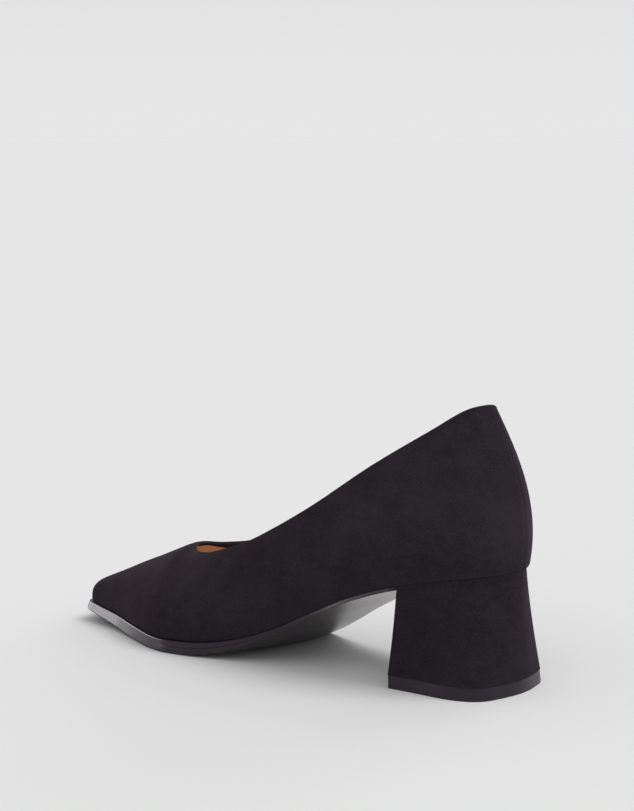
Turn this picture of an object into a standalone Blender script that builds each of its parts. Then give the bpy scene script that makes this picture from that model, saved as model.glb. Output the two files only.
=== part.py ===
"""Court shoe for the right foot with a flared block heel, built piece by piece on the form of its last.

Sizes are millimetres in the shoe's own directions: u runs forward from the back of the heel, y to the
outer side of the foot and z up from the floor. The function place gives metres, with the toe toward -X.
"""
import bpy
import bmesh
import numpy as np

MM = 0.001
MIDDLE_U = 124.82         # half way along the shoe, put at the origin
MIDDLE_Y = -1.41          # half way across the shoe, put at the origin
WALL = 1.6                # suede and lining of the upper together
GAP = 0.3                 # room for glue between two pieces
EDGE = 2.2                # radius of the bottom edge of the upper
MARGIN = 7.5              # lasting margin, turned under the insole
AXIS_FRONT = 226.0        # front and back ends of the middle line of the bottom
AXIS_BACK = 27.0
TOE_SWING = -1.9          # the toe lies this far to the inner side of the heel's middle
INSOLE = 2.5              # thickness of the insole at its edge
INSOLE_INSET = 2.2        # insole edge, inside the foot line of the upper
BREAST = 51.9             # the sole ends here, against the front of the heel
GROOVE = 0.45             # depth of the groove round the edge of the sole
BEVEL = 0.6               # chamfer of the bottom edge of the sole
LIFT = 5.7                # thickness of the top piece under the heel
LIFT_BEVEL = 0.3          # ground off the lower edge of the top piece
LIFT_FLARE = 0.7          # the top piece stands out by this much more at its bottom than at the heel
HEEL_HOLLOW = 0.35        # the sides of the heel curve in by this much half way up

# Bottom of the last: height on the middle line and fall to the outer side for each mm across.
# Sole: thickness at the edge, extra thickness in the middle, and how far its edge stands past the upper.
BOTTOM_COLUMNS = ("u", "rise", "fall", "thick", "crown", "ledge")
BOTTOM = (
    (0, 54.1, 0.000, 1.9, 0.0, -1.0),
    (10, 52.7, 0.000, 1.9, 0.0, -1.0),
    (30, 49.2, 0.000, 1.9, 0.0, -1.0),
    (50, 44.4, 0.010, 1.9, 0.4, -1.0),
    (60, 41.1, 0.025, 1.9, 0.6, -1.0),
    (70, 37.2, 0.045, 1.9, 0.8, -0.9),
    (81, 32.5, 0.062, 1.9, 1.0, -0.8),
    (92, 27.1, 0.072, 2.0, 1.2, -0.7),
    (103, 21.5, 0.075, 2.2, 1.4, -0.5),
    (113, 16.2, 0.075, 2.7, 1.7, -0.2),
    (123, 11.7, 0.075, 3.6, 2.0, 0.2),
    (133, 8.2, 0.070, 4.7, 2.0, 0.6),
    (143, 6.8, 0.038, 5.5, 1.6, 0.9),
    (155, 6.2, 0.012, 6.0, 0.8, 1.1),
    (170, 6.0, 0.000, 6.0, 0.2, 1.2),
    (190, 6.0, 0.000, 6.0, 0.0, 1.2),
    (205, 6.5, 0.000, 5.9, 0.0, 1.2),
    (222, 7.8, 0.000, 5.5, 0.0, 1.3),
    (236, 8.9, 0.000, 4.7, 0.0, 1.5),
    (250, 10.0, 0.000, 3.8, 0.0, 2.1),
)

# Ribs of the upper, from the middle of the toe down one side to the back of the heel. foot: where the rib
# leaves the bottom edge. top: the ridge of the vamp as far as the throat, then the edge of the opening.
# lean: how far the wall leans out at the foot. roll: how far it lies over at the top. turn: the way the
# top faces, from the heel (0) across the foot (90) to the toe (180). low, high: fullness at each end.
# past: the curve is carried on to this share of its length, over the opening to the middle of the last.
THROAT = 7
RIB_COLUMNS = ("foot_u", "foot_in", "foot_out", "top_u", "top_in", "top_out", "z_in", "z_out",
               "lean", "roll", "turn", "low", "high", "past")
RIBS = (
    (247.2, -1.9, -1.9, 239.0, -2.0, -2.0, 21.9, 21.9, 3, 66, 0, 0.42, 0.42, 1.0),        # toe, middle
    (246.9, -8.4, 4.6, 237.5, -2.0, -2.0, 22.4, 22.4, 3, 70, 30, 0.42, 0.42, 1.0),        # toe, front
    (244.7, -14.6, 10.8, 234.6, -2.0, -2.0, 23.7, 23.7, 2, 80, 65, 0.42, 0.42, 1.0),      # toe, corner
    (236.0, -17.9, 14.8, 227.5, -2.0, -2.0, 27.1, 27.1, 1, 88, 90, 0.42, 0.42, 1.0),      # toe, side
    (220.0, -23.0, 21.6, 216.5, -2.0, -2.0, 31.9, 31.9, 1, 90, 90, 0.41, 0.40, 1.0),      # toe box
    (206.0, -29.0, 28.6, 206.5, -2.0, -2.0, 35.9, 35.9, 2, 90, 90, 0.40, 0.39, 1.0),      # toes
    (195.0, -33.8, 32.6, 197.0, -2.0, -2.0, 39.9, 39.9, 3, 90, 90, 0.39, 0.39, 1.0),      # vamp
    (184.5, -38.2, 35.6, 186.4, -2.0, -2.0, 44.2, 44.2, 4, 87, 88, 0.39, 0.39, 1.0),      # throat
    (173.0, -40.9, 37.4, 177.4, -13.8, 9.8, 43.6, 43.7, 6, 72, 88, 0.37, 0.38, 1.22),     # ball, front
    (158.5, -39.9, 38.2, 163.0, -23.2, 19.2, 45.1, 45.0, 8, 54, 88, 0.37, 0.35, 1.42),    # ball
    (140.0, -35.5, 36.6, 140.0, -26.6, 25.2, 51.9, 51.4, 9, 36, 90, 0.36, 0.36, 1.5),     # joint
    (118.0, -29.7, 32.2, 118.0, -28.2, 27.8, 62.1, 61.8, 10, 28, 90, 0.35, 0.35, 1.5),    # waist
    (92.0, -25.7, 28.0, 93.0, -27.5, 28.0, 76.7, 76.2, 9, 24, 90, 0.35, 0.35, 1.5),       # arch
    (62.0, -25.6, 26.4, 64.0, -24.8, 25.6, 96.1, 95.2, 9, 22, 90, 0.35, 0.35, 1.5),       # breast
    (33.0, -25.0, 25.0, 38.5, -19.2, 19.2, 112.0, 111.2, 9, 22, 100, 0.38, 0.30, 1.5),    # heel, side
    (11.5, -18.4, 18.4, 24.4, -10.6, 10.6, 121.7, 120.3, 9, 24, 140, 0.42, 0.24, 1.5),    # heel, turn
    (1.5, 0.0, 0.0, 17.9, 0.0, 0.0, 123.0, 123.0, 10, 26, 180, 0.43, 0.24, 1.5),          # heel, back
)
RIB_STEPS = (2, 3, 3, 3, 2, 2, 2, 3, 3, 3, 3, 3, 3, 3, 3, 3)

# Outline of the heel from the corner of its breast to the middle of its back, at the seat and at the floor.
HEEL_COLUMNS = ("seat_u", "seat_y", "floor_u", "floor_y")
HEEL = (
    (50.6, 24.6, 51.5, 29.7),
    (36.0, 23.3, 35.0, 29.0),
    (22.0, 20.8, 18.8, 28.6),
    (10.6, 14.4, 7.6, 23.5),
    (4.8, 7.4, 3.2, 12.0),
    (2.5, 0.0, 1.6, 0.0),
)


def columns(rows, names):
    """Dictionary of the columns of a table."""
    return dict(zip(names, np.array(rows, float).T))


def along(knots, values, at):
    """Smooth open curve through the values, its slope at each taken from the neighbours."""
    slopes = np.gradient(values, knots)
    at = np.clip(at, knots[0], knots[-1])
    i = np.clip(np.searchsorted(knots, at, side="right") - 1, 0, len(knots) - 2)
    h = knots[i + 1] - knots[i]
    return cubic((at - knots[i]) / h, values[i], values[i + 1], h * slopes[i], h * slopes[i + 1])


def around(values, at):
    """Smooth closed curve through values, or rows of them, that stand at whole numbers."""
    slopes = (np.roll(values, -1, 0) - np.roll(values, 1, 0)) / 2
    at = at % len(values)
    i = at.astype(int) % len(values)
    k = (i + 1) % len(values)
    t = (at - at.astype(int)).reshape(at.shape + (1,) * (values.ndim - 1))
    return cubic(t, values[i], values[k], slopes[i], slopes[k])


def cubic(t, start, end, slope_start, slope_end):
    """Cubic from start to end with the given slopes, t running from 0 to 1."""
    first = (2 * t**3 - 3 * t**2 + 1) * start + (t**3 - 2 * t**2 + t) * slope_start
    return first + (3 * t**2 - 2 * t**3) * end + (t**3 - t**2) * slope_end


BOTTOM_TABLE = columns(BOTTOM, BOTTOM_COLUMNS)
RIB_TABLE = columns(RIBS, RIB_COLUMNS)
HEEL_TABLE = columns(HEEL, HEEL_COLUMNS)
BACK = len(RIBS) - 1
TURN = 2 * BACK


def bottom(name, u):
    """One column of the bottom table at the stations u."""
    return along(BOTTOM_TABLE["u"], BOTTOM_TABLE[name], u)


def last_bottom(plan):
    """Height of the last's bottom at points in plan."""
    return bottom("rise", plan[..., 0]) - bottom("fall", plan[..., 0]) * plan[..., 1]


def ring(name, outer_name=None):
    """One column of the rib table all the way round: down the inner side, then up the outer side."""
    return np.concatenate([RIB_TABLE[name], RIB_TABLE[outer_name or name][-2:0:-1]])


FOOT = np.column_stack([ring("foot_u"), ring("foot_in", "foot_out")])
TOP = np.column_stack([ring("top_u"), ring("top_in", "top_out"), ring("z_in", "z_out")])


def foot_line(s):
    """Plan of the line where the wall of the upper leaves its bottom edge, at positions s round the ribs."""
    return around(FOOT, s)


def axis_line(s):
    """Middle line of the bottom, opposite each point of the foot line."""
    u = np.clip(foot_line(s)[..., 0], AXIS_BACK, AXIS_FRONT)
    return np.stack([u, TOE_SWING * u / AXIS_FRONT], -1)


def inward(s):
    """Unit direction in plan from the foot line to the middle line."""
    d = axis_line(s) - foot_line(s)
    return d / np.linalg.norm(d, axis=-1, keepdims=True)


def rib_curves():
    """Arm at the foot, second arm and end of each rib: a cubic to its top, carried on as far as past says.

    Just behind the throat both sides end on the same point, so that the ridge of the vamp runs straight on.
    """
    low = np.column_stack([FOOT, last_bottom(FOOT) + EDGE])
    lean, roll, turn = (np.radians(ring(name)) for name in ("lean", "roll", "turn"))
    rows = np.arange(float(TURN))
    side = np.where(rows > BACK, 1.0, -1.0)
    over = np.column_stack([-np.cos(turn), -side * np.sin(turn)])
    up_low = np.column_stack([-inward(rows) * np.sin(lean)[:, None], np.cos(lean)])
    up_high = np.column_stack([over * np.sin(roll)[:, None], np.cos(roll)])
    reach = np.linalg.norm(TOP - low, axis=1)
    low_arm = low + up_low * (reach * ring("low"))[:, None]
    high_arm = TOP - up_high * (reach * ring("high"))[:, None]
    points = [low, low_arm, high_arm, TOP]
    firsts = []
    while len(points) > 1:
        points = [a + (b - a) * ring("past")[:, None] for a, b in zip(points, points[1:])]
        firsts.append(points[0])
    end = firsts[2]
    behind_throat = [THROAT + 1, TURN - THROAT - 1]
    end[behind_throat] = end[behind_throat].mean(0)
    end[behind_throat, 1] = TOP[THROAT, 1]
    return firsts[0] - low, firsts[1], end


RIB_ARM, RIB_OVER, RIB_END = rib_curves()


def last_side(s, t):
    """Side of the last: at each position s a cubic from the foot (t 0) over to the middle (t 1)."""
    foot = foot_line(s)
    a = np.column_stack([foot, last_bottom(foot) + EDGE])[:, None]
    b = a + around(RIB_ARM, s)[:, None]
    c = around(RIB_OVER, s)[:, None]
    d = around(RIB_END, s)[:, None]
    t = t[..., None]
    return (1 - t)**3 * a + 3 * (1 - t)**2 * t * b + 3 * (1 - t) * t**2 * c + t**3 * d


def topline(q):
    """Positions s and t on the last under the edge of the opening, q rows on from the throat.

    The plan of the edge is a smooth closed curve through the tops of the ribs, and s and t are found by
    Newton's steps.
    """
    plan = around(TOP[THROAT:TURN - THROAT, :2], q)
    s = THROAT + q
    t = 1 / around(ring("past"), s)
    step = 1e-4
    for _ in range(15):
        here, by_s, by_t = (last_side(*p)[:, 0, :2] for p in
                            ((s, t[:, None]), (s + step, t[:, None]), (s, t[:, None] + step)))
        (su, sy), (tu, ty), (u, y) = ((by_s - here).T / step, (by_t - here).T / step, (plan - here).T)
        area = su * ty - sy * tu
        s = s + (u * ty - y * tu) / area
        t = t + (su * y - sy * u) / area
    return s, t


def inset(s, distance, height):
    """Points inside the foot line by a distance, at a height over the last's bottom."""
    plan = foot_line(s) + inward(s) * distance
    return np.column_stack([plan, last_bottom(plan) + height])


def place(points):
    """Metres in the part's frame."""
    u, y, z = np.moveaxis(points, -1, 0)
    return np.stack([MIDDLE_U - u, y - MIDDLE_Y, z], -1) * MM


def grid_faces(rows, cols, closed):
    """Four-cornered faces of a grid of points, closed round the rows or open."""
    last = rows if closed else rows - 1
    i, j = np.meshgrid(np.arange(last), np.arange(cols - 1), indexing="ij")
    k = (i + 1) % rows
    corners = np.stack([i * cols + j, k * cols + j, k * cols + j + 1, i * cols + j + 1], -1)
    return corners.reshape(-1, 4).tolist()


def piece(name, points, faces, colour, rough, outside):
    """Object made of welded faces, with its own material."""
    mesh = bpy.data.meshes.new(name)
    mesh.from_pydata(place(points.reshape(-1, 3)).tolist(), [], faces)
    work = bmesh.new()
    work.from_mesh(mesh)
    bmesh.ops.remove_doubles(work, verts=work.verts, dist=1e-6)
    bmesh.ops.dissolve_degenerate(work, edges=work.edges, dist=1e-6)
    if outside:
        bmesh.ops.recalc_face_normals(work, faces=work.faces)
    bmesh.ops.triangulate(work, faces=work.faces)
    work.to_mesh(mesh)
    work.free()
    obj = bpy.data.objects.new(name, mesh)
    bpy.context.collection.objects.link(obj)
    material = bpy.data.materials.new(name)
    material.use_nodes = True
    shader = material.node_tree.nodes["Principled BSDF"]
    shader.inputs["Base Color"].default_value = (*colour, 1.0)
    shader.inputs["Roughness"].default_value = rough
    mesh.materials.append(material)
    return obj


for old in list(bpy.data.objects):
    bpy.data.objects.remove(old, do_unlink=True)

places = np.concatenate([np.arange(n) / n + row for row, n in enumerate(RIB_STEPS)])
front = places[places < THROAT]
q = places[places >= THROAT] - THROAT
edge_s, edge_t = topline(np.concatenate([q, [BACK - THROAT], 2 * (BACK - THROAT) - q[::-1]]))
LOOP = np.concatenate([front, edge_s, TURN - front[:0:-1]])
ENDS = np.concatenate([np.ones(len(front)), edge_t, np.ones(len(front) - 1)])

# Upper: suede over a thin lining, lasted under the insole, open at the top and at the bottom.
turned = np.radians([0.0, 35.0, 65.0])
rows = [inset(LOOP, EDGE + MARGIN, 0.0), inset(LOOP, EDGE + MARGIN / 2, 0.0)]
rows += [inset(LOOP, EDGE * (1 - np.sin(a)), EDGE * (1 - np.cos(a))) for a in turned]
wall = last_side(LOOP, ENDS[:, None] * np.linspace(0.0, 1.0, 12))
skin = np.concatenate([np.stack(rows, 1), wall], axis=1)
upper = piece("upper", skin, grid_faces(len(LOOP), skin.shape[1], True), (0.024, 0.020, 0.024), 0.95, False)
solidify = upper.modifiers.new("wall", "SOLIDIFY")
solidify.thickness = WALL * MM
solidify.offset = -1.0

# Insole: board and sock on the lasting margin, with its middle let down between the turned-in edges.
half = LOOP[LOOP <= BACK]
BED = np.concatenate([half, TURN - half[-2:0:-1]])
seat = WALL + GAP
hole = EDGE + MARGIN + 0.6
top = seat + INSOLE
axis = axis_line(BED)
rows = [np.column_stack([axis, last_bottom(axis) + top])]
rows += [inset(BED, hole, top), inset(BED, INSOLE_INSET + 0.8, top)]
rows += [inset(BED, INSOLE_INSET, top - 0.6), inset(BED, INSOLE_INSET, seat)]
rows += [inset(BED, hole, seat), inset(BED, hole, 0.0), np.column_stack([axis, last_bottom(axis)])]
bed = np.stack(rows, 1)
piece("insole", bed, grid_faces(len(BED), bed.shape[1], True), (0.27, 0.10, 0.045), 0.6, True)

# Outsole: two thin layers with a groove between them, from the toe back to the breast of the heel.
probe = np.linspace(THROAT, BACK, 400)
last_s = np.interp(BREAST, foot_line(probe)[::-1, 0], probe[::-1])
half_sole = np.append(half[half < last_s - 0.05], last_s)
SOLE = np.concatenate([half_sole[::-1], TURN - half_sole[1:]])
foot = foot_line(SOLE)
axis = axis_line(SOLE)
ledge = bottom("ledge", foot[:, 0])
thick = bottom("thick", foot[:, 0])
groove = GROOVE * np.clip((thick - 2.5) / 2.5, 0.0, 1.0)
edge = foot - inward(SOLE) * ledge[:, None]
top_z = last_bottom(edge) - GAP
low_z = np.maximum(last_bottom(edge) - thick, 0.0)
rows = [np.column_stack([axis, last_bottom(axis) - GAP])]
plan = edge + (axis - edge) * 0.4
rows += [np.column_stack([plan, last_bottom(plan) - GAP])]
for part, cut_in in ((0.0, 0.0), (0.38, 0.0), (0.45, 1.0), (0.52, 0.0), (0.86, 0.0)):
    plan = edge + inward(SOLE) * (groove * cut_in)[:, None]
    rows += [np.column_stack([plan, top_z + (low_z - top_z) * part])]
low_edge = edge + inward(SOLE) * BEVEL
for part in (0.0, 0.15, 0.4, 0.7, 1.0):
    plan = low_edge + (axis - low_edge) * part
    depth = bottom("thick", plan[:, 0]) + bottom("crown", plan[:, 0]) * (1 - (1 - part)**2)
    rows += [np.column_stack([plan, np.maximum(last_bottom(plan) - depth, 0.0)])]
tread = np.stack(rows, 1)
faces = grid_faces(len(SOLE), tread.shape[1], False)
count = tread.shape[1]
end = (len(SOLE) - 1) * count
faces.append(list(range(count)) + [end + j for j in range(count - 2, 0, -1)])
piece("outsole", tread, faces, (0.03, 0.027, 0.03), 0.35, True)


def heel_outline(u_name, y_name, steps):
    """Plan of the heel from one corner of the breast round the back to the other corner."""
    u, y = HEEL_TABLE[u_name], HEEL_TABLE[y_name]
    knots = np.arange(2.0 * len(u) - 1)
    at = np.linspace(0.0, knots[-1], steps)
    return np.column_stack([along(knots, np.append(u, u[-2::-1]), at),
                            along(knots, np.append(-y, y[-2::-1]), at)])


def stacked(layers):
    """Faces of closed outlines laid one over another, with strips across the lowest and the highest."""
    high, wide = len(layers), len(layers[0])
    points = np.stack(layers, 1)
    faces = grid_faces(wide, high, True)
    for level in (0, high - 1):
        for i in range(wide // 2):
            across = [i, i + 1, wide - 2 - i, wide - 1 - i]
            faces.append([n * high + level for n in dict.fromkeys(across)])
    return points, faces


# Heel: block covered with the same suede, flaring to the floor, its top cut to the seat of the upper.
low_plan = heel_outline("floor_u", "floor_y", 37)
high_plan = heel_outline("seat_u", "seat_y", 37)
low = np.column_stack([low_plan, np.full(len(low_plan), LIFT + GAP)])
high = np.column_stack([high_plan, last_bottom(high_plan) - GAP])
to_middle = np.array([32.0, 0.0]) - low_plan
to_middle /= np.linalg.norm(to_middle, axis=1, keepdims=True)
layers = []
for part in np.linspace(0.0, 1.0, 7):
    layer = low + (high - low) * part
    layer[:, :2] += to_middle * HEEL_HOLLOW * 4 * part * (1 - part)
    layers.append(layer)
points, faces = stacked(layers)
piece("heel", points, faces, (0.024, 0.020, 0.024), 0.95, True)

# Top piece: rubber under the heel, flared, with a bevelled lower edge.
foot_plan = low_plan - to_middle * LIFT_FLARE
flat = foot_plan + to_middle * LIFT_BEVEL
layers = [np.column_stack([flat, np.zeros(len(flat))])]
layers += [np.column_stack([foot_plan, np.full(len(flat), LIFT_BEVEL)])]
layers += [np.column_stack([low_plan, np.full(len(flat), LIFT)])]
points, faces = stacked(layers)
piece("top_piece", points, faces, (0.035, 0.032, 0.036), 0.5, True)
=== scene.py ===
"""Looks of a black suede court shoe for the right foot, with a snipped toe and a flared block heel.

Shapes are worked out in millimetres in the shoe's own directions, as its solids are: u runs forward from
the back of the heel, y to the outer side of the foot and z up from the floor.
"""

import bmesh
import bpy
import numpy as np
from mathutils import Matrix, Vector


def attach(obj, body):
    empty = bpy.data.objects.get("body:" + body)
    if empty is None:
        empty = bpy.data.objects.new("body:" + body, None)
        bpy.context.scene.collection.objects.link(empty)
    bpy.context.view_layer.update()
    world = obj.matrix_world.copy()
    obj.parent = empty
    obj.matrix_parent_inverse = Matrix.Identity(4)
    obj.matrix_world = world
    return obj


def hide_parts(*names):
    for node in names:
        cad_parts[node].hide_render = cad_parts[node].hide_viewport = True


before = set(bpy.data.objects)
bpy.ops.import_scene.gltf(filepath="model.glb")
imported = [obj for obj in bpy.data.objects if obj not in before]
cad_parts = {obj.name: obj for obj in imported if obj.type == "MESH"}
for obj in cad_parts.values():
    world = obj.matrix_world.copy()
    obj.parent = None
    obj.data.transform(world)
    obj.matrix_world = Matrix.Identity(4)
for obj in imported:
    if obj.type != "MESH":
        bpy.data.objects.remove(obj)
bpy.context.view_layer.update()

# Upper of black goat suede, pulled over the last and turned under the insole all round.
# Two halves are sewn together up the back. The top edge is skived, folded to the inside and stuck down,
# so it shows as a soft round rim with a narrow band of suede inside it.
MM = 0.001
MIDDLE_U = 124.82         # half way along the shoe, at the origin of the frame
MIDDLE_Y = -1.41          # half way across the shoe, at the origin of the frame
EDGE = 2.2                # height of the foot line over the bottom of the last
EDGE_HEEL = 2.2           # radius of the bottom edge at the heel
EDGE_FRONT = 0.8          # and at waist and toe, where the sole is pressed against it
EDGE_CHANGE = (60.0, 115.0)  # the radius changes between these stations
MARGIN = 7.5              # turned under the insole
AXIS_FRONT = 226.0        # ends of the middle line of the bottom
AXIS_BACK = 27.0
TOE_SWING = -1.9          # the toe lies this far to the inner side
SEAT_SAG = 0.6            # the turned edge hangs below the seat by this much at the back
SAG_END = 45.0            # it hangs no more from this station on
SAG_RUN, SAG_SHARE = 1.0, 0.3  # this far inside the rounding, this share of the sag is left
ROUND_POINTS, ROUND_END = 8, 85.0  # points round the bottom edge, and degrees turned where the wall begins
WALL_POINTS = 72          # up the wall to the opening
LINING_DEPTH = 1.25       # lining, inside the face of the suede

# Bottom of the last: height on the middle line, and fall to the outer side for each mm across.
BOTTOM_COLUMNS = ("u", "rise", "fall")
BOTTOM = (
    (0, 54.1, 0.000),
    (10, 52.7, 0.000),
    (30, 49.2, 0.000),
    (50, 44.4, 0.010),
    (60, 41.1, 0.025),
    (70, 37.2, 0.045),
    (81, 32.5, 0.062),
    (92, 27.1, 0.072),
    (103, 21.5, 0.075),
    (113, 16.2, 0.075),
    (123, 11.7, 0.075),
    (133, 8.2, 0.070),
    (143, 6.8, 0.038),
    (155, 6.2, 0.012),
    (170, 6.0, 0.000),
    (190, 6.0, 0.000),
    (205, 6.5, 0.000),
    (222, 7.8, 0.000),
    (236, 8.9, 0.000),
    (250, 10.0, 0.000),
)

# Ribs from the middle of the toe down one side to the back of the heel. foot: where the rib leaves the
# bottom edge. top: ridge of the vamp as far as the throat, then edge of the opening. lean: how far the
# wall leans out at the foot. roll: how far it lies over at the top. turn: the way the top faces, from the
# heel (0) across the foot (90) to the toe (180). low, high: fullness at each end. past: the curve is
# carried on to this share of its length, over the opening to the middle of the last.
THROAT = 7
RIB_COLUMNS = ("foot_u", "foot_in", "foot_out", "top_u", "top_in", "top_out", "z_in", "z_out",
               "lean", "roll", "turn", "low", "high", "past")
RIBS = (
    (247.2, -1.9, -1.9, 239.0, -2.0, -2.0, 21.9, 21.9, 3, 66, 0, 0.42, 0.42, 1.0),        # toe, middle
    (246.9, -8.4, 4.6, 237.5, -2.0, -2.0, 22.4, 22.4, 3, 70, 30, 0.42, 0.42, 1.0),        # toe, front
    (244.7, -14.6, 10.8, 234.6, -2.0, -2.0, 23.7, 23.7, 2, 80, 65, 0.42, 0.42, 1.0),      # toe, corner
    (236.0, -17.9, 14.8, 227.5, -2.0, -2.0, 27.1, 27.1, 1, 88, 90, 0.42, 0.42, 1.0),      # toe, side
    (220.0, -23.0, 21.6, 216.5, -2.0, -2.0, 31.9, 31.9, 1, 90, 90, 0.41, 0.40, 1.0),      # toe box
    (206.0, -29.0, 28.6, 206.5, -2.0, -2.0, 35.9, 35.9, 2, 90, 90, 0.40, 0.39, 1.0),      # toes
    (195.0, -33.8, 32.6, 197.0, -2.0, -2.0, 39.9, 39.9, 3, 90, 90, 0.39, 0.39, 1.0),      # vamp
    (184.5, -38.2, 35.6, 186.4, -2.0, -2.0, 44.2, 44.2, 4, 87, 88, 0.39, 0.39, 1.0),      # throat
    (173.0, -40.9, 37.4, 177.4, -13.8, 9.8, 43.6, 43.7, 6, 72, 88, 0.37, 0.38, 1.22),     # ball, front
    (158.5, -39.9, 38.2, 163.0, -23.2, 19.2, 45.1, 45.0, 8, 54, 88, 0.37, 0.35, 1.42),    # ball
    (140.0, -35.5, 36.6, 140.0, -26.6, 25.2, 51.9, 51.4, 9, 36, 90, 0.36, 0.36, 1.5),     # joint
    (118.0, -29.7, 32.2, 118.0, -28.2, 27.8, 62.1, 61.8, 10, 28, 90, 0.35, 0.35, 1.5),    # waist
    (92.0, -25.7, 28.0, 93.0, -27.5, 28.0, 76.7, 76.2, 9, 24, 90, 0.35, 0.35, 1.5),       # arch
    (62.0, -25.6, 26.4, 64.0, -24.8, 25.6, 96.1, 95.2, 9, 22, 90, 0.35, 0.35, 1.5),       # breast
    (33.0, -25.0, 25.0, 38.5, -19.2, 19.2, 112.0, 111.2, 9, 22, 100, 0.38, 0.30, 1.5),    # heel, side
    (11.5, -18.4, 18.4, 24.4, -10.6, 10.6, 121.7, 120.3, 9, 24, 140, 0.42, 0.24, 1.5),    # heel, turn
    (1.5, 0.0, 0.0, 17.9, 0.0, 0.0, 123.0, 123.0, 10, 26, 180, 0.43, 0.24, 1.5),          # heel, back
)
BACK = len(RIBS) - 1
TURN = 2 * BACK
RIB_STEPS = (8, 8, 10, 10, 8, 8, 8, 12, 12, 12, 14, 14, 16, 16, 16)
BACK_STEPS = 26           # to the seam up the back
BACK_CROWDING = 1.8       # power by which these come closer together toward it
NEWTON_STEPS = 15         # to find the edge of the opening on the last
WELD, SLIVER = 2e-6, 1e-6  # metres: points nearer than this are one, shorter edges are dropped


def columns(rows, names):
    """Dictionary of the columns of a table."""
    return dict(zip(names, np.array(rows, float).T))


def cubic(t, start, end, slope_start, slope_end):
    """Cubic from start to end with the given slopes, t running from 0 to 1."""
    first = (2 * t**3 - 3 * t**2 + 1) * start + (t**3 - 2 * t**2 + t) * slope_start
    return first + (3 * t**2 - 2 * t**3) * end + (t**3 - t**2) * slope_end


def along(knots, values, at):
    """Smooth open curve through the values, its slope at each taken from the neighbours."""
    slopes = np.gradient(values, knots)
    at = np.clip(at, knots[0], knots[-1])
    i = np.clip(np.searchsorted(knots, at, side="right") - 1, 0, len(knots) - 2)
    h = knots[i + 1] - knots[i]
    return cubic((at - knots[i]) / h, values[i], values[i + 1], h * slopes[i], h * slopes[i + 1])


def around(values, at):
    """Smooth closed curve through values, or rows of them, that stand at whole numbers."""
    slopes = (np.roll(values, -1, 0) - np.roll(values, 1, 0)) / 2
    at = at % len(values)
    i = at.astype(int) % len(values)
    k = (i + 1) % len(values)
    t = (at - at.astype(int)).reshape(at.shape + (1,) * (values.ndim - 1))
    return cubic(t, values[i], values[k], slopes[i], slopes[k])


BOTTOM_TABLE = columns(BOTTOM, BOTTOM_COLUMNS)
RIB_TABLE = columns(RIBS, RIB_COLUMNS)


def last_bottom(plan):
    """Height of the last's bottom in plan: its rise at u less its fall times y."""
    u, y = plan[..., 0], plan[..., 1]
    rise, fall = (along(BOTTOM_TABLE["u"], BOTTOM_TABLE[name], u) for name in ("rise", "fall"))
    return rise - fall * y


def ring(name, outer_name=None):
    """One column of the rib table all the way round: down the inner side, then up the outer side."""
    return np.concatenate([RIB_TABLE[name], RIB_TABLE[outer_name or name][-2:0:-1]])


FOOT = np.column_stack([ring("foot_u"), ring("foot_in", "foot_out")])
TOP = np.column_stack([ring("top_u"), ring("top_in", "top_out"), ring("z_in", "z_out")])


def foot_line(s):
    """Plan of the line where the wall leaves the bottom edge, at positions s round the ribs."""
    return around(FOOT, s)


def axis_line(s):
    """Middle line of the bottom, opposite each point of the foot line."""
    u = np.clip(foot_line(s)[..., 0], AXIS_BACK, AXIS_FRONT)
    return np.stack([u, TOE_SWING * u / AXIS_FRONT], -1)


def unit(vectors):
    """Vectors brought to length 1."""
    return vectors / np.maximum(np.linalg.norm(vectors, axis=-1, keepdims=True), 1e-12)


def inward(s):
    """Unit direction in plan from the foot line to the middle line."""
    return unit(axis_line(s) - foot_line(s))


def inset(s, distance, height):
    """Points inside the foot line by a distance, at a height over the last's bottom."""
    plan = foot_line(s) + inward(s) * np.asarray(distance)[..., None]
    return np.column_stack([plan, last_bottom(plan) + height])


def rib_curves():
    """Arm at the foot, second arm and end of each rib: a cubic to its top, carried on as far as past says.

    Just behind the throat both sides end on the same point, so that the ridge of the vamp runs straight on.
    """
    low = np.column_stack([FOOT, last_bottom(FOOT) + EDGE])
    lean, roll, turn = (np.radians(ring(name)) for name in ("lean", "roll", "turn"))
    rows = np.arange(float(TURN))
    side = np.where(rows > BACK, 1.0, -1.0)
    over = np.column_stack([-np.cos(turn), -side * np.sin(turn)])
    up_low = np.column_stack([-inward(rows) * np.sin(lean)[:, None], np.cos(lean)])
    up_high = np.column_stack([over * np.sin(roll)[:, None], np.cos(roll)])
    reach = np.linalg.norm(TOP - low, axis=1)
    low_arm = low + up_low * (reach * ring("low"))[:, None]
    high_arm = TOP - up_high * (reach * ring("high"))[:, None]
    points = [low, low_arm, high_arm, TOP]
    firsts = []
    while len(points) > 1:
        points = [a + (b - a) * ring("past")[:, None] for a, b in zip(points, points[1:])]
        firsts.append(points[0])
    end = firsts[2]
    behind_throat = [THROAT + 1, TURN - THROAT - 1]
    end[behind_throat] = end[behind_throat].mean(0)
    end[behind_throat, 1] = TOP[THROAT, 1]
    return firsts[0] - low, firsts[1], end


RIB_ARM, RIB_OVER, RIB_END = rib_curves()


def last_side(s, t):
    """Side of the last: at each position s a cubic from the foot (t 0) over to the middle (t 1)."""
    foot = foot_line(s)
    a = np.column_stack([foot, last_bottom(foot) + EDGE])[:, None]
    b = a + around(RIB_ARM, s)[:, None]
    c = around(RIB_OVER, s)[:, None]
    d = around(RIB_END, s)[:, None]
    t = t[..., None]
    return (1 - t)**3 * a + 3 * (1 - t)**2 * t * b + 3 * (1 - t) * t**2 * c + t**3 * d


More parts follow.
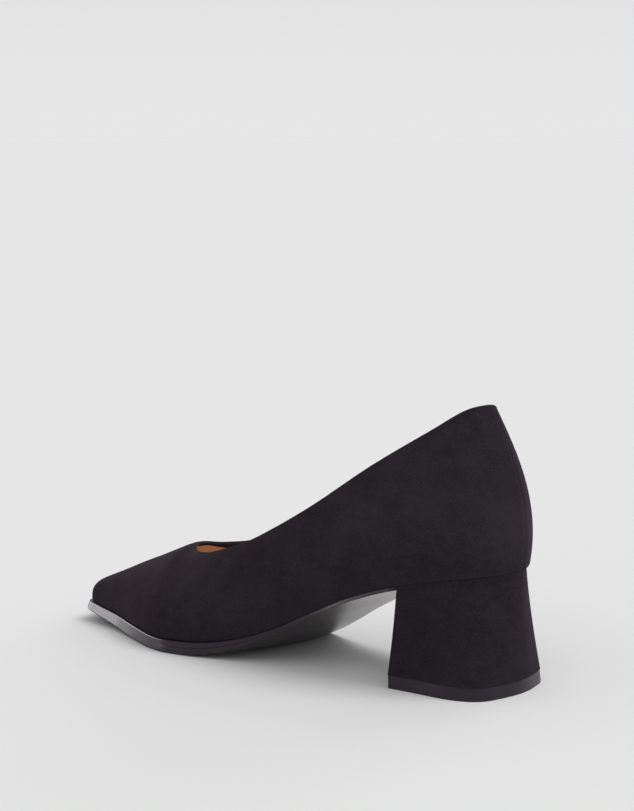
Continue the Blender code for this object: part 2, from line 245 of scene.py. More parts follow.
def topline(q):
    """Positions s and t on the last under the edge of the opening, q rows on from the throat.

    The plan of the edge is a smooth closed curve through the tops of the ribs, and s and t are found by
    Newton's steps.
    """
    plan = around(TOP[THROAT:TURN - THROAT, :2], q)
    s = THROAT + q
    t = 1 / around(ring("past"), s)
    step = 1e-4
    for _ in range(NEWTON_STEPS):
        here, by_s, by_t = (last_side(*p)[:, 0, :2] for p in
                            ((s, t[:, None]), (s + step, t[:, None]), (s, t[:, None] + step)))
        (su, sy), (tu, ty), (u, y) = ((by_s - here).T / step, (by_t - here).T / step, (plan - here).T)
        area = su * ty - sy * tu
        s = s + (u * ty - y * tu) / area
        t = t + (su * y - sy * u) / area
    return s, t


def normals(grid, ridge):
    """Outward unit normals: cross products of the diagonals of the cells round a point, added up.

    Points of the last column that are marked as ridge lie on the same points of the other side, so the two
    sums are joined there. u runs against X, which turns the product round.
    """
    after = np.roll(grid, -1, 0)
    cell = np.cross(grid[:, 1:] - after[:, :-1], after[:, 1:] - grid[:, :-1])
    cell = cell + np.roll(cell, 1, 0)
    total = np.zeros_like(grid)
    total[:, :-1] += cell
    total[:, 1:] += cell
    mirrored = total[-np.arange(len(grid)) % len(grid), -1]
    total[:, -1] += np.where(ridge[:, None], mirrored, 0.0)
    return unit(total)


def place(points):
    """Metres in the part's frame."""
    u, y, z = np.moveaxis(points, -1, 0)
    return np.stack([MIDDLE_U - u, y - MIDDLE_Y, z], -1) * MM


def sheet_piece(name, grids, material, flip=False, shade=None):
    """Object made of grids of points, each a pair of its points and whether its rows close in a ring.

    Every four neighbours make a face, and points that fall together are welded. shade gives a value for
    every point of each grid, kept on the mesh for its material.
    """
    corners, faces, start = [], [], 0
    for grid, closed in grids:
        rows, cols = grid.shape[:2]
        i, j = np.meshgrid(np.arange(rows if closed else rows - 1), np.arange(cols - 1), indexing="ij")
        k = (i + 1) % rows
        quads = np.stack([i * cols + j, k * cols + j, k * cols + j + 1, i * cols + j + 1], -1)
        faces.append(quads.reshape(-1, 4) + start)
        corners.append(place(grid).reshape(-1, 3))
        start += rows * cols
    faces = np.concatenate(faces)
    mesh = bpy.data.meshes.new(name)
    mesh.from_pydata(np.concatenate(corners).tolist(), [], (faces[:, ::-1] if flip else faces).tolist())
    if shade:
        kept = mesh.attributes.new("shade", "FLOAT", "POINT")
        flat = np.concatenate([values.ravel() for values in shade])
        kept.data.foreach_set("value", flat.astype(np.float32))
    work = bmesh.new()
    work.from_mesh(mesh)
    bmesh.ops.remove_doubles(work, verts=work.verts, dist=WELD)
    bmesh.ops.dissolve_degenerate(work, edges=work.edges, dist=SLIVER)
    work.to_mesh(mesh)
    work.free()
    mesh.shade_smooth()
    mesh.materials.append(material)
    obj = bpy.data.objects.new(name, mesh)
    bpy.context.collection.objects.link(obj)
    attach(obj, "root")
    return obj


def linear(hex_colour):
    """Linear colour of an sRGB hex value, by the two-part curve of the sRGB standard."""
    srgb = np.array([int(hex_colour[i:i + 2], 16) for i in (1, 3, 5)]) / 255
    rgb = np.where(srgb <= 0.04045, srgb / 12.92, ((srgb + 0.055) / 1.055) ** 2.4)
    return (*rgb.tolist(), 1.0)


def add(tree, kind, inputs, **settings):
    """Adds a node with its settings. Inputs, by name or number, get a value or are linked to a socket.

    A mix of colours has its factor at input 0, the two colours at 6 and 7, and the result at output 2.
    """
    made = tree.nodes.new(kind)
    for name, value in settings.items():
        setattr(made, name, value)
    for name, value in inputs.items():
        if isinstance(value, bpy.types.NodeSocket):
            tree.links.new(value, made.inputs[name])
        else:
            made.inputs[name].default_value = value
    return made


# Goat suede: split leather sanded to a short nap. It scatters light from loose fibres, so it has no gloss
# and turns paler at a grazing angle. Its tone is mottled at random, with patches of painted light and shade
# laid over it.
NAP_PATCH = 20.0          # mm across a brushed patch
NAP_STROKE = 3.5          # mm across a brush mark
STROKE_LENGTH = 2.0       # times its width
STROKE_TURN = 0.5         # radians from level
STROKE_RELIEF = 0.3       # mm
FIBRE = 0.55              # mm, coarser than real fibres so that they show in the render
FIBRE_RELIEF = 0.15       # mm
PATCH_SHARE, FIBRE_SHARE = 1.5, 3.0  # weight in the tone, against 1 for the brush marks
NAP_LOW, NAP_HIGH = 1.52, 3.98  # sums that give the darkest and the palest tone
suede = bpy.data.materials.new("black_goat_suede")
suede.use_nodes = True
tree = suede.node_tree
shader = tree.nodes["Principled BSDF"]
where = add(tree, "ShaderNodeTexCoord", {}).outputs["Object"]
patch = add(tree, "ShaderNodeTexNoise", {"Vector": where, "Scale": 1 / (NAP_PATCH * MM), "Detail": 2.0,
                                         "Roughness": 0.5, "Distortion": 0.4}).outputs[0]
drawn = add(tree, "ShaderNodeMapping", {"Vector": where, "Rotation": (0.0, STROKE_TURN, 0.0),
                                        "Scale": (1 / STROKE_LENGTH, 1.0, 1.0)}).outputs[0]
stroke = add(tree, "ShaderNodeTexNoise", {"Vector": drawn, "Scale": 1 / (NAP_STROKE * MM),
                                          "Detail": 3.0, "Roughness": 0.6}).outputs[0]
fibre = add(tree, "ShaderNodeTexNoise", {"Vector": where, "Scale": 1 / (FIBRE * MM), "Detail": 2.0,
                                         "Roughness": 0.7}).outputs[0]
lay = add(tree, "ShaderNodeMath", {0: patch, 1: PATCH_SHARE, 2: stroke}, operation="MULTIPLY_ADD").outputs[0]
nap = add(tree, "ShaderNodeMath", {0: fibre, 1: FIBRE_SHARE, 2: lay}, operation="MULTIPLY_ADD").outputs[0]
even = add(tree, "ShaderNodeMapRange", {"Value": nap, "From Min": NAP_LOW, "From Max": NAP_HIGH}).outputs[0]
# Painted light and shade, kept on the mesh, make the tone of the nap paler or darker in patches.
painted_light = add(tree, "ShaderNodeAttribute", {}, attribute_name="shade").outputs["Fac"]
nap_and_painted_light = add(tree, "ShaderNodeMath", {0: even, 1: painted_light}, operation="ADD", use_clamp=True).outputs[0]
tone = add(tree, "ShaderNodeMix", {0: nap_and_painted_light, 6: linear("#19141a"), 7: linear("#373038")}, data_type="RGBA")
tree.links.new(tone.outputs[2], shader.inputs["Base Color"])
soft = add(tree, "ShaderNodeBump", {"Strength": 0.25, "Distance": STROKE_RELIEF * MM, "Height": stroke})
fuzz = add(tree, "ShaderNodeBump", {"Strength": 0.45, "Distance": FIBRE_RELIEF * MM, "Height": fibre,
                                    "Normal": soft.outputs[0]})
tree.links.new(fuzz.outputs[0], shader.inputs["Normal"])
shader.inputs["Roughness"].default_value = 0.95
shader.inputs["Specular IOR Level"].default_value = 0.0
shader.inputs["Sheen Weight"].default_value = 0.1
shader.inputs["Sheen Roughness"].default_value = 0.5
shader.inputs["Sheen Tint"].default_value = linear("#d8c2d6")

side = np.concatenate([row + np.arange(n) / n for row, n in enumerate(RIB_STEPS)])
side = np.append(side, BACK - (1 - np.arange(BACK_STEPS) / BACK_STEPS) ** BACK_CROWDING)
vamp, q = side[side < THROAT], side[side >= THROAT] - THROAT
edge_s, edge_t = topline(np.concatenate([q, [BACK - THROAT], 2 * (BACK - THROAT) - q[::-1]]))
loop = np.concatenate([vamp, edge_s, TURN - vamp[:0:-1]])
ends = np.concatenate([np.ones(len(vamp)), edge_t, np.ones(len(vamp) - 1)])
ridge = (loop < THROAT + 1e-6) | (loop > TURN - THROAT - 1e-6)

bare_wall = last_side(loop, ends[:, None] * np.linspace(0.0, 1.0, WALL_POINTS))
foot_u = foot_line(loop)[:, 0]
radius = np.interp(foot_u, EDGE_CHANGE, (EDGE_HEEL, EDGE_FRONT))
slant = np.tan(np.radians(around(ring("lean"), loop))) * (EDGE - radius)
sag = SEAT_SAG * np.clip(1 - foot_u / SAG_END, 0.0, 1.0) ** 2
under = [inset(loop, EDGE + MARGIN, 0.0), inset(loop, slant + radius + SAG_RUN, -SAG_SHARE * sag)]
under += [inset(loop, slant + radius * (1 - np.sin(a)), radius * (1 - np.cos(a)) - sag * np.cos(a))
          for a in np.radians(np.linspace(0.0, ROUND_END, ROUND_POINTS))]
skin = np.concatenate([np.stack(under, 1), bare_wall], axis=1)
skin_out = normals(skin, ridge)

# Patches of painted light and shade on the suede, paler where light falls and darker in shade: middle, reach
# and tone.
PAINTED_LIGHT_COLUMNS = ("u", "y", "z", "reach", "tone")
PAINTED_LIGHT_PATCHES = (
    (37.0, -26.0, 86.0, 20.0, 0.34),
    (74.0, -29.0, 74.0, 15.0, 0.22),
    (5.0, -6.0, 76.0, 18.0, 0.34),
    (136.0, -36.0, 24.0, 14.0, 0.22),
    (100.0, -29.0, 46.0, 16.0, 0.16),
    (232.0, -12.0, 20.0, 14.0, 0.12),
    (180.0, -22.0, 40.0, 9.0, -0.14),
    (30.0, 26.0, 80.0, 20.0, 0.25),
    (95.0, 30.0, 55.0, 18.0, -0.15),
    (160.0, 33.0, 34.0, 15.0, 0.16),
    (38.0, -27.0, 24.0, 20.0, -0.16),
    (17.0, -21.0, 40.0, 13.0, 0.16),
    (17.0, -23.0, 14.0, 12.0, 0.18),
)
PAINTED_LIGHT_TABLE = columns(PAINTED_LIGHT_PATCHES, PAINTED_LIGHT_COLUMNS)


def painted_light_at(points):
    """Painted light and shade on the suede: over all places, tone times e to minus the square of distance by
    reach.
    """
    middles = np.column_stack([PAINTED_LIGHT_TABLE[name] for name in ("u", "y", "z")])
    squared = ((points[..., None, :] - middles) ** 2).sum(-1)
    return (PAINTED_LIGHT_TABLE["tone"] * np.exp(-squared / PAINTED_LIGHT_TABLE["reach"]**2)).sum(-1)


# Soft folds that spread down both sides from the throat: u and y where each begins and ends, its height
# (a hollow is negative) and its half width.
CREASE_FOOT = 15.0        # below this height over the bottom they fade out
CREASES = (
    (170.0, -20.5, 154.0, -32.5, 0.32, 2.2),
    (171.0, -25.0, 160.0, -35.0, -0.34, 2.6),
    (160.0, -24.5, 148.0, -31.5, -0.20, 2.2),
    (168.0, 16.0, 153.0, 29.5, 0.26, 2.4),
    (170.0, 20.5, 158.0, 32.0, -0.28, 2.6),
)
folds = np.zeros(skin.shape[:2])
for from_u, from_y, to_u, to_y, height, width in CREASES:
    start, reach = np.array([from_u, from_y]), np.array([to_u - from_u, to_y - from_y])
    part = np.clip((skin[..., :2] - start) @ reach / (reach @ reach), 0.0, 1.0)
    distance = np.linalg.norm(skin[..., :2] - start - part[..., None] * reach, axis=-1)
    folds += height * np.exp(-(distance / width) ** 2)
folds *= np.clip((skin[..., 2] - last_bottom(skin)) / CREASE_FOOT, 0.0, 1.0)

# Seam up the back: a fine groove between two soft swellings, where the edges are opened out and hammered.
SEAM_DEPTH, SEAM_WIDTH = 0.18, 0.4  # depth and half width of the groove
SWELL, SWELL_WIDTH, SWELL_OFF = 0.05, 0.8, 1.9  # height, half width and distance from the groove
SEAM_END = 60.0           # there is none forward of this station
off_seam = abs(skin[..., 1])
seam = SWELL * np.exp(-((off_seam - SWELL_OFF) / SWELL_WIDTH) ** 2)
seam -= SEAM_DEPTH * np.exp(-(off_seam / SEAM_WIDTH) ** 2)
skin = skin + skin_out * (folds + np.where(skin[..., 0] < SEAM_END, seam, 0.0))[..., None]

# Folded edge, thickest round the back and drawn out a little at the throat. fold: band of suede inside it.
# Last column: how much paler a painted highlight makes its crest, where light catches the folded edge.
RIM_POINTS, FOLD_POINTS = 13, 6  # round the rim and down the band
FOLD_START = 0.4          # the band begins this far below the edge
FOLD_SINK = 0.1           # and its cut end goes this far into the lining
CREST, CREST_WIDTH = 5.0, 2.5  # middle and half width of the painted highlight on the crest, in points round the rim
RIM_COLUMNS = ("row", "thick", "rise", "fold", "rim_highlight")
RIMS = (
    (THROAT, 2.2, 1.9, 5.4, 0.3),
    (THROAT + 1, 2.1, 1.2, 4.2, 0.5),
    (THROAT + 2, 2.0, 0.6, 2.2, 0.9),
    (THROAT + 3, 2.0, 0.6, 2.2, 0.9),
    (BACK - 2, 2.0, 0.6, 2.4, 0.2),
    (BACK - 1, 2.4, 0.7, 2.4, 0.2),
    (BACK, 3.0, 1.5, 2.4, 0.2),
)
RIM_TABLE = columns(RIMS, RIM_COLUMNS)
opening = slice(len(vamp), len(vamp) + len(edge_s) - 1)
edge, edge_out = skin[opening, -1], skin_out[opening, -1]
edge_up = unit(np.cross(np.roll(edge, -1, 0) - np.roll(edge, 1, 0), edge_out))
row = np.minimum(loop, TURN - loop)[opening]
thick, rise, fold, rim_highlight = (along(RIM_TABLE["row"], RIM_TABLE[name], row)[:, None]
                             for name in RIM_COLUMNS[1:])
rim = [edge + edge_up * (rise * np.sin(a)) - edge_out * (thick / 2 * (1 - np.cos(a)))
       for a in np.radians(np.linspace(0.0, 180.0, RIM_POINTS))]
rim += [edge - edge_out * thick - edge_up * (FOLD_START + (fold - FOLD_START) * part)
        for part in np.linspace(0.0, 1.0, FOLD_POINTS)]
rim += [edge - edge_out * (LINING_DEPTH - FOLD_SINK) - edge_up * (fold + FOLD_SINK)]
rim = np.stack(rim, 1)
# Painted highlight along the crest of the rim, where light catches the folded edge.
painted_crest = rim_highlight * np.exp(-((np.arange(rim.shape[1]) - CREST) / CREST_WIDTH) ** 2)
upper = sheet_piece("upper_suede", [(skin, True), (rim, True)], suede,
                    shade=[painted_light_at(skin), painted_light_at(rim) + painted_crest])
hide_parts("upper")

# Lining of thin tan leather, stuck to the inside of the upper and lasted together with it.
# Its top edge lies behind the folded suede and its bottom edge under the sock.
PORE = 0.9                # mm between pores, coarser than real ones so that they show
PORE_DEPTH = 0.12         # mm
TAN_CLOUD = 9.0           # mm across a cloud in the colour

# Tan lining leather: pale and matt, a little cloudy in colour, with pores that take the shine off it.
tan_leather = bpy.data.materials.new("tan_lining_leather")
tan_leather.use_nodes = True
tree = tan_leather.node_tree
shader = tree.nodes["Principled BSDF"]
where = add(tree, "ShaderNodeTexCoord", {}).outputs["Object"]
cloud = add(tree, "ShaderNodeTexNoise", {"Vector": where, "Scale": 1 / (TAN_CLOUD * MM),
                                         "Detail": 4.0}).outputs[0]
tone = add(tree, "ShaderNodeMix", {0: cloud, 6: linear("#ecc4a2"), 7: linear("#f5d8ba")}, data_type="RGBA")
tree.links.new(tone.outputs[2], shader.inputs["Base Color"])
pores = add(tree, "ShaderNodeTexVoronoi", {"Vector": where, "Scale": 1 / (PORE * MM)}).outputs["Distance"]
grain = add(tree, "ShaderNodeBump", {"Strength": 0.3, "Distance": PORE_DEPTH * MM, "Height": pores})
tree.links.new(grain.outputs[0], shader.inputs["Normal"])
shader.inputs["Roughness"].default_value = 0.6
shader.inputs["Specular IOR Level"].default_value = 0.35

inside = bare_wall - normals(bare_wall, ridge) * LINING_DEPTH
lining = sheet_piece("lining", [(inside, True)], tan_leather, flip=True)

# Sock of the same tan leather, stuck on the insole board, which lies on the turned-in margin of the upper.
# It covers the whole inside of the bottom, and its edge is pressed down against the lining.
SOCK_TOP = 4.4            # over the bottom of the last
SOCK_EDGE = 1.35          # inside the foot line, against the lining
BOARD = 1.9               # the board lies on the margin at this height
HOLLOW = 10.3             # inside the foot line by this much it is let down between the turned-in edges
# Rows of its top: distance inside the foot line, and depth below SOCK_TOP.
SOCK_ROWS = ((14.0, 0.0), (9.0, 0.0), (5.0, 0.0), (2.6, 0.0), (1.7, 0.2), (SOCK_EDGE, 0.8))
bed_half = loop[loop <= BACK]
bed = np.concatenate([bed_half, TURN - bed_half[-2:0:-1]])
axis = axis_line(bed)
sock = [np.column_stack([axis, last_bottom(axis) + SOCK_TOP])]
sock += [inset(bed, distance, SOCK_TOP - below) for distance, below in SOCK_ROWS]
sock += [inset(bed, SOCK_EDGE, BOARD), inset(bed, HOLLOW, BOARD), inset(bed, HOLLOW, 0.0)]
sock += [np.column_stack([axis, last_bottom(axis)])]
insole = sheet_piece("sock", [(np.stack(sock, 1), True)], tan_leather)
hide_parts("insole")

# Outsole of black resin, smooth and lacquered. It is two layers thick at toe and ball, with a fine groove
# where they meet, and runs thin through the waist to the breast of the heel. It is stuck to the upper.
BREAST = 51.9             # the sole ends here
END_CLEAR = 0.03          # rows nearer than this to the end are left out, as a share of a rib
PROBES = 400              # positions tried to find the end
GROOVE = 0.18             # depth of the groove round the edge
GROOVE_RUN = (110.0, 135.0, 160.0, 176.0), (0.0, 1.0, 1.0, 0.0)  # it runs out at waist and toe
BEVEL = 0.8               # rounding of the bottom edge
WAIST = (66.0, 100.0)     # under the waist the lacquer is thin and a warm brown shows through it
EDGE_SLOPE = 0.75         # the edge stands out by this much more at its bottom than at its top
TOE_LEAN = 0.7            # round the toe its top is drawn in by this much
LEAN_RUN = (182.0, 205.0)  # growing between these stations
GAP = 0.05                # glue between sole and upper
SOLE_CLOUD = 6.0          # mm across a patch of the lacquer
TOP_SHARE = 0.4           # row on the top, this share of the way from the edge to the middle line
# Rows down the edge: share of the way down, share of the groove, and rounding in mm.
PROFILE = ((0.0, 0.0, 0.12), (0.02, 0.0, 0.04), (0.05, 0.0, 0.0), (0.08, 0.0, 0.0), (0.40, 0.0, 0.0),
           (0.43, 0.0, 0.0), (0.445, 0.7, 0.0), (0.455, 1.0, 0.0), (0.465, 0.7, 0.0), (0.48, 0.0, 0.0),
           (0.51, 0.0, 0.0), (0.84, 0.0, 0.0), (0.87, 0.0, 0.0), (0.92, 0.0, 0.14), (0.96, 0.0, 0.38))
# Rows underneath: share of the way from the edge to the middle line.
TREAD = (0.0, 0.03, 0.08, 0.15, 0.25, 0.4, 0.55, 0.7, 0.85, 1.0)

# Thickness at the edge, extra thickness in the middle, and how far the edge stands past the upper.
SOLE_COLUMNS = ("u", "thick", "crown", "ledge")
SOLE = (
    (0, 1.9, 0.0, -1.0),
    (50, 1.9, 0.4, -1.0),
    (60, 1.9, 0.6, -1.0),
    (70, 1.9, 0.8, -0.9),
    (81, 1.9, 1.0, -0.8),
    (92, 2.0, 1.2, -0.7),
    (103, 2.2, 1.4, -0.5),
    (113, 2.7, 1.7, -0.2),
    (123, 3.6, 2.0, 0.2),
    (133, 4.7, 2.0, 0.6),
    (143, 5.5, 1.6, 0.9),
    (155, 6.0, 0.8, 1.1),
    (170, 6.0, 0.2, 1.2),
    (190, 6.0, 0.0, 1.2),
    (205, 5.9, 0.0, 1.2),
    (222, 5.5, 0.0, 1.3),
    (236, 4.7, 0.0, 1.5),
    (250, 3.8, 0.0, 2.1),
)
SOLE_TABLE = columns(SOLE, SOLE_COLUMNS)


def sole(name, u):
    """One column of the sole table at the stations u."""
    return along(SOLE_TABLE["u"], SOLE_TABLE[name], u)


# Lacquered resin: nearly black, smooth enough to mirror the light round it as soft pale bands, with a
# warm brown where it is thin.
lacquer = bpy.data.materials.new("lacquered_black_resin")
lacquer.use_nodes = True
tree = lacquer.node_tree
shader = tree.nodes["Principled BSDF"]
where = add(tree, "ShaderNodeTexCoord", {}).outputs["Object"]
cloud = add(tree, "ShaderNodeTexNoise", {"Vector": where, "Scale": 1 / (SOLE_CLOUD * MM),
                                         "Detail": 3.0}).outputs[0]
rough = add(tree, "ShaderNodeMapRange", {"Value": cloud, "To Min": 0.22, "To Max": 0.26}).outputs[0]
tree.links.new(rough, shader.inputs["Roughness"])
tone = add(tree, "ShaderNodeMix", {0: cloud, 6: linear("#1d171e"), 7: linear("#292229")}, data_type="RGBA")
thin = add(tree, "ShaderNodeAttribute", {}, attribute_name="shade").outputs["Fac"]
warm = add(tree, "ShaderNodeMix", {0: thin, 6: tone.outputs[2], 7: linear("#6e5a4e")}, data_type="RGBA")
tree.links.new(warm.outputs[2], shader.inputs["Base Color"])
shader.inputs["IOR"].default_value = 1.32
shader.inputs["Specular Tint"].default_value = linear("#f6e6f4")
shader.inputs["Coat Weight"].default_value = 0.2
shader.inputs["Coat Roughness"].default_value = 0.22

probe = np.linspace(THROAT, BACK, PROBES)
last_s = np.interp(BREAST, foot_line(probe)[::-1, 0], probe[::-1])
half_sole = np.append(bed_half[bed_half < last_s - END_CLEAR], last_s)
path = np.concatenate([half_sole[::-1], TURN - half_sole[1:]])
foot, axis = foot_line(path), axis_line(path)
thick = sole("thick", foot[:, 0])
groove = GROOVE * np.interp(foot[:, 0], *GROOVE_RUN)
lean = TOE_LEAN * np.interp(foot[:, 0], LEAN_RUN, (0.0, 1.0))
edge = foot - inward(path) * sole("ledge", foot[:, 0])[:, None]
top_z = last_bottom(edge) - GAP
low_z = np.maximum(last_bottom(edge) - thick, 0.0)
rows = [np.column_stack([axis, last_bottom(axis) - GAP])]
plan = edge + (axis - edge) * TOP_SHARE
rows += [np.column_stack([plan, last_bottom(plan) - GAP])]
for down, cut, round_off in PROFILE:
    plan = edge + inward(path) * (groove * cut + round_off - EDGE_SLOPE * down + lean * (1 - down))[:, None]
    rows += [np.column_stack([plan, top_z + (low_z - top_z) * down])]
underneath = len(rows) + 1  # the rows from here on lie inside the bottom edge
low_edge = edge + inward(path) * BEVEL
for part in TREAD:
    plan = low_edge + (axis - low_edge) * part
    depth = sole("thick", plan[:, 0]) + sole("crown", plan[:, 0]) * (1 - (1 - part) ** 2)
    rows += [np.column_stack([plan, np.maximum(last_bottom(plan) - depth, 0.0)])]
tread = np.stack(rows, 1)
thin = 1 - np.clip((tread[..., 0] - WAIST[0]) / (WAIST[1] - WAIST[0]), 0.0, 1.0)
thin[:, :underneath] = 0.0
outsole = sheet_piece("outsole_resin", [(tread, False), (tread[[-1, 0]], False)], lacquer,
                      shade=[thin, thin[[-1, 0]]])
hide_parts("outsole")

# Heel: a moulded block covered with the same suede, drawn tight round it and joined at the front.
# It flares to the floor, and its top is cut to the seat of the upper, where it is stuck and screwed on.
LIFT = 5.7                # thickness of the top piece under it
HEEL_HOLLOW = 0.35        # the sides curve in by this much half way up
HEEL_MIDDLE = (32.0, 0.0)  # toward this point in plan
HEEL_STEPS, HEEL_LAYERS = 120, 24  # points round it and rows up it

# Outline from the corner of the breast to the middle of the back, at the seat and at the floor.
HEEL_COLUMNS = ("seat_u", "seat_y", "floor_u", "floor_y")
HEEL = (
    (50.6, 24.6, 51.5, 29.7),
    (36.0, 23.3, 35.0, 29.0),
    (22.0, 20.8, 18.8, 28.6),
    (10.6, 14.4, 7.6, 23.5),
    (4.8, 7.4, 3.2, 12.0),
    (2.5, 0.0, 1.6, 0.0),
)
HEEL_TABLE = columns(HEEL, HEEL_COLUMNS)


def heel_outline(level):
    """Plan of the heel at the seat or the floor, from one corner of the breast round to the other."""
    u, y = HEEL_TABLE[level + "_u"], HEEL_TABLE[level + "_y"]
    knots = np.arange(2.0 * len(u) - 1)
    at = np.linspace(0.0, knots[-1], HEEL_STEPS)
    return np.column_stack([along(knots, np.append(u, u[-2::-1]), at),
                            along(knots, np.append(-y, y[-2::-1]), at)])


def capped(layers):
    """Grids of closed outlines laid one over another, with strips across the lowest and the highest."""
    stack = np.stack(layers, 1)
    half = HEEL_STEPS // 2
    caps = [(np.stack([layer[:half], layer[:half - 1:-1]], 1), False)
            for layer in (layers[0], layers[-1][::-1])]
    return [(stack, True)] + caps


def rounded(obj, name, width, segments, sharp):
    """Bevels the edges that turn by more than sharp degrees, to a width in mm."""
    bevel = obj.modifiers.new(name, "BEVEL")
    bevel.width = width * MM
    bevel.segments = segments
    bevel.limit_method = "ANGLE"
    bevel.angle_limit = np.radians(sharp)
    bevel.harden_normals = True


floor_plan, seat_plan = heel_outline("floor"), heel_outline("seat")
low = np.column_stack([floor_plan, np.full(HEEL_STEPS, LIFT + GAP)])
high = np.column_stack([seat_plan, last_bottom(seat_plan) - GAP])
to_middle = unit(np.array(HEEL_MIDDLE) - floor_plan)
layers = []
for part in np.linspace(0.0, 1.0, HEEL_LAYERS):
    layer = low + (high - low) * part
    layer[:, :2] += to_middle * HEEL_HOLLOW * 4 * part * (1 - part)
    layers.append(layer)
block = capped(layers)
# The heel cover carries the same painted light and shade as the upper.
heel = sheet_piece("heel_cover", block, suede, shade=[painted_light_at(grid) for grid, _ in block])
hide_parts("heel")
rounded(heel, "drawn edge", width=0.7, segments=3, sharp=40)

# Top piece of black rubber, cut to the outline of the heel and pinned on under it.
# It stands on the floor, and its lower edge is ground to a small bevel.
LIFT_BEVEL = 0.3          # across and up
LIFT_STEP = 0.3           # it lies this far inside the edge of the cover
LIFT_FLARE = 0.7          # it stands out by this much more at its bottom than at the heel
FLARE_FADE = 14           # but less over this many points toward each corner of the breast
LIFT_ROWS = (0.0, 0.35, 0.7, 1.0)  # shares of its height over the bevel
SPECK = 0.8               # mm across a speck
PIT = 0.1                 # mm deep

# Moulded rubber: charcoal with a satin shine, broken a little by fine specks and pits from the mould.
rubber = bpy.data.materials.new("moulded_black_rubber")
rubber.use_nodes = True
tree = rubber.node_tree
shader = tree.nodes["Principled BSDF"]
where = add(tree, "ShaderNodeTexCoord", {}).outputs["Object"]
speck = add(tree, "ShaderNodeTexNoise", {"Vector": where, "Scale": 1 / (SPECK * MM),
                                         "Detail": 2.0}).outputs[0]
tone = add(tree, "ShaderNodeMix", {0: speck, 6: linear("#252026"), 7: linear("#312b33")}, data_type="RGBA")
tree.links.new(tone.outputs[2], shader.inputs["Base Color"])
pits = add(tree, "ShaderNodeBump", {"Strength": 0.15, "Distance": PIT * MM, "Height": speck})
tree.links.new(pits.outputs[0], shader.inputs["Normal"])
shader.inputs["Roughness"].default_value = 0.33
shader.inputs["IOR"].default_value = 1.36
shader.inputs["Specular Tint"].default_value = linear("#e6d6ec")

from_corner = np.minimum(np.arange(HEEL_STEPS), np.arange(HEEL_STEPS)[::-1])
flare = (LIFT_FLARE * np.clip(from_corner / FLARE_FADE, 0.0, 1.0))[:, None]
flat = floor_plan - to_middle * (flare - LIFT_BEVEL)
layers = [np.column_stack([flat, np.zeros(HEEL_STEPS)])]
for part in LIFT_ROWS:
    plan = floor_plan + to_middle * (LIFT_STEP - flare * (1 - part))
    layers.append(np.column_stack([plan, np.full(HEEL_STEPS, LIFT_BEVEL + (LIFT - LIFT_BEVEL) * part)]))
top_piece = sheet_piece("top_piece_rubber", capped(layers), rubber)
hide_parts("top_piece")
rounded(top_piece, "ground edge", width=0.25, segments=2, sharp=30)

# Studio: a wide floor of white paper in a half dark room, with a low lit wall all round.
# A large soft light stands high behind the heel, a weaker one low on the far side and a faint one on the
# near side. A strip low in front of the toe shines only in what is glossy.
FLOOR_REACH, FLOOR_CORNERS = 30.0, 96  # metres out from the shoe, and corners of its outline
turns = np.linspace(0.0, 2 * np.pi, FLOOR_CORNERS, endpoint=False)
outline = FLOOR_REACH * np.column_stack([np.cos(turns), np.sin(turns), np.zeros(FLOOR_CORNERS)])
floor_mesh = bpy.data.meshes.new("floor")
floor_mesh.from_pydata(outline.tolist(), [], [range(FLOOR_CORNERS)])
floor = bpy.data.objects.new("floor", floor_mesh)
bpy.context.collection.objects.link(floor)

# Matt paper: an even white without gloss, so that only the soft shadow shows on it.
paper = bpy.data.materials.new("matt_white_paper")
paper.use_nodes = True
shader = paper.node_tree.nodes["Principled BSDF"]
shader.inputs["Base Color"].default_value = linear("#f0f0f0")
shader.inputs["Roughness"].default_value = 0.9
shader.inputs["Specular IOR Level"].default_value = 0.0
floor_mesh.materials.append(paper)

WALL_FOOT, WALL_TOP = 0.0, 0.25  # its light falls off between these, as sines of the elevation
world = bpy.data.worlds.new("studio")
bpy.context.scene.world = world
world.use_nodes = True
tree = world.node_tree
way = add(tree, "ShaderNodeTexCoord", {}).outputs["Generated"]
height = add(tree, "ShaderNodeSeparateXYZ", {0: way}).outputs["Z"]
dim = add(tree, "ShaderNodeMapRange", {"Value": height, "From Min": WALL_FOOT, "From Max": WALL_TOP},
          interpolation_type="SMOOTHSTEP").outputs[0]
glow = add(tree, "ShaderNodeMix", {0: dim, 6: linear("#e7e7e7"), 7: linear("#bcbcbc")}, data_type="RGBA")
tree.links.new(glow.outputs[2], tree.nodes["Background"].inputs["Color"])

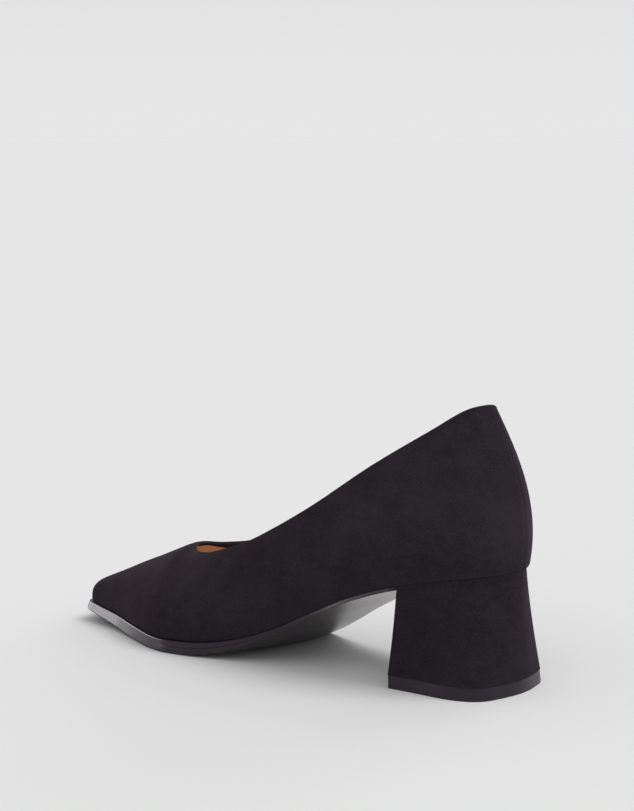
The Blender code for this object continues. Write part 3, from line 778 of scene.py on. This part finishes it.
# Soft lights: name, strength, degrees across and the way they shine.
SUNS = (
    ("key", 1.12, 28, (-0.42, -0.22, -0.88)),
    ("rear", 0.6, 40, (0.06, -0.96, -0.25)),
    ("front", 0.2, 50, (-0.25, 0.75, -0.62)),
)
for name, strength, across, shine in SUNS:
    sun = bpy.data.objects.new(name, bpy.data.lights.new(name, "SUN"))
    sun.data.energy = strength
    sun.data.angle = np.radians(across)
    sun.rotation_mode = "QUATERNION"
    sun.rotation_quaternion = Vector(shine).to_track_quat("-Z", "Y")
    bpy.context.collection.objects.link(sun)

STRIP_WATTS, STRIP_SIZE = 8.2, (1.15, 0.4)  # metres across and up
STRIP_PLACE, STRIP_SHINE = (-1.25, -0.4, 0.2), (1.15, 0.38, -0.15)
strip = bpy.data.objects.new("strip", bpy.data.lights.new("strip", "AREA"))
strip.data.energy = STRIP_WATTS
strip.data.shape = "RECTANGLE"
strip.data.size, strip.data.size_y = STRIP_SIZE
strip.location = STRIP_PLACE
strip.visible_diffuse = False
strip.rotation_mode = "QUATERNION"
strip.rotation_quaternion = Vector(STRIP_SHINE).to_track_quat("-Z", "Y")
bpy.context.collection.objects.link(strip)

# Camera at the photograph's place: behind the heel on the inner side, a little above the shoe.
AZIMUTH, ELEVATION = np.radians(38.65), np.radians(7.4)
DISTANCE = 1.0            # metres from the point it looks at
AIM = (0.01042, 0.00141, 0.1157)
FOCAL_PIXELS, LONG_SIDE = 2195.0, 811.0  # focal length and height of the picture
SENSOR = 36.0             # mm
camera = bpy.data.objects.new("camera", bpy.data.cameras.new("camera"))
camera.data.sensor_width = SENSOR
camera.data.lens = FOCAL_PIXELS * SENSOR / LONG_SIDE
away = Vector((np.sin(AZIMUTH) * np.cos(ELEVATION), -np.cos(AZIMUTH) * np.cos(ELEVATION), np.sin(ELEVATION)))
camera.location = Vector(AIM) + away * DISTANCE
camera.rotation_mode = "QUATERNION"
camera.rotation_quaternion = (-away).to_track_quat("-Z", "Y")
bpy.context.collection.objects.link(camera)
bpy.context.scene.camera = camera
bpy.context.scene.view_settings.view_transform = "Standard"
